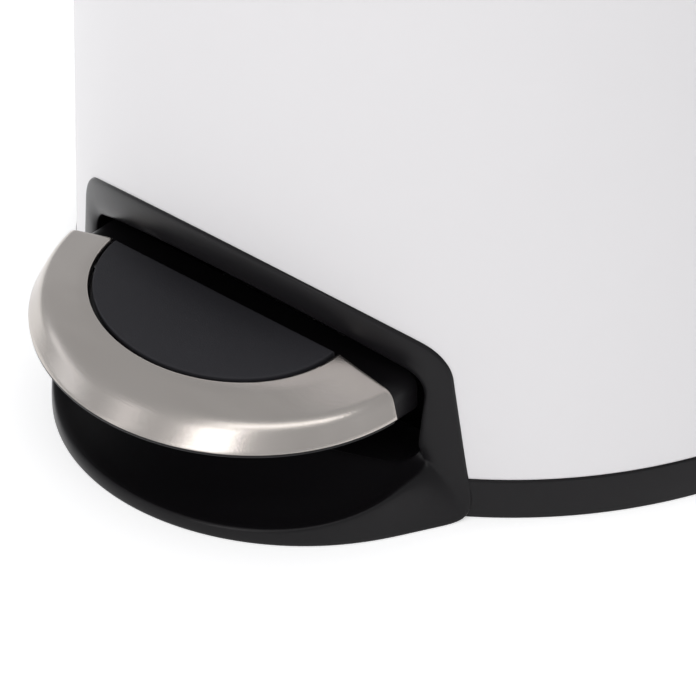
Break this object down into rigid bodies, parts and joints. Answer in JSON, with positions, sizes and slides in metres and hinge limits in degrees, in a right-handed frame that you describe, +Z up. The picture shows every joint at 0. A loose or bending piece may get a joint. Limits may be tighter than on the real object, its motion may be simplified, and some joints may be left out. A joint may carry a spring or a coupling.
{
  "type": "pedal trash can",
  "caption": "Round floor-standing waste bin: painted steel body on a black plastic base, half-moon foot pedal, push rod and hinged domed lid.",
  "frame": {"origin": "on the floor, on the axis of the round body, at the centre of the underside of the base", "axes": "+Z up along the body's axis, -Y towards the pedal, +Y towards the lid hinge, +X to the right seen from the front"},
  "size_m": [0.295, 0.365, 0.64],
  "materials": {
    "painted_steel": "smooth gloss powder coat, pearly white",
    "black_plastic": "satin moulded, fine texture",
    "grey_plastic": "moulded, matt",
    "brushed_steel": "satin brushed stainless",
    "plated_steel": "bright zinc plate",
    "rubber": "matt",
    "rubber_insert": "matt, fine grain",
    "nylon": "natural, semi-matt"
  },
  "bodies": {
    "bin": {"base_moulding": "black_plastic", "non_slip_pads": "rubber", "body_shell": "painted_steel", "top_rim": "black_plastic", "lid_bumpers": "rubber", "mechanism_deck": "grey_plastic", "deck_screws": "plated_steel", "inner_bucket": "grey_plastic", "hinge_housing": "black_plastic", "hinge_backing_plate": "plated_steel", "hinge_screws": "plated_steel", "hinge_pin": "plated_steel", "pivot_bracket": "plated_steel", "bracket_screws": "plated_steel", "pedal_pivot_pin": "plated_steel", "pivot_circlips": "plated_steel", "lever_buffer": "rubber", "rod_guides": "nylon", "guide_rivets": "painted_steel"},
    "pedal": {"pedal_cover": "brushed_steel", "pedal_carrier": "black_plastic", "pedal_insert": "rubber_insert", "pedal_lever": "plated_steel", "pedal_screws": "plated_steel", "pivot_bushes": "nylon"},
    "rod": {"push_rod": "plated_steel", "rod_foot": "nylon", "rod_head": "nylon"},
    "lid": {"lid_shell": "painted_steel", "lid_liner": "black_plastic", "lid_hinge_arm": "black_plastic", "lid_screws": "plated_steel", "crank_pin": "plated_steel"}
  },
  "joints": [
    {"name": "lid_hinge", "type": "hinge", "parent": "bin", "child": "lid", "pos_m": [0, 0.156, 0.604], "axis": [-1, 0, 0], "range_deg": [0, 80]},
    {"name": "rod_slide", "type": "slide", "parent": "bin", "child": "rod", "axis": [0, 0, 1], "range_m": [0, 0.0284]},
    {"name": "pedal_hinge", "type": "hinge", "parent": "bin", "child": "pedal", "pos_m": [0, -0.045, 0.03], "axis": [1, 0, 0], "range_deg": [0, 8.81]}
  ],
  "couplings": [
    {"joint": "rod_slide", "follows": "lid_hinge", "m_per_rad": 0.020256},
    {"joint": "pedal_hinge", "follows": "lid_hinge", "ratio": 0.11011}
  ]
}
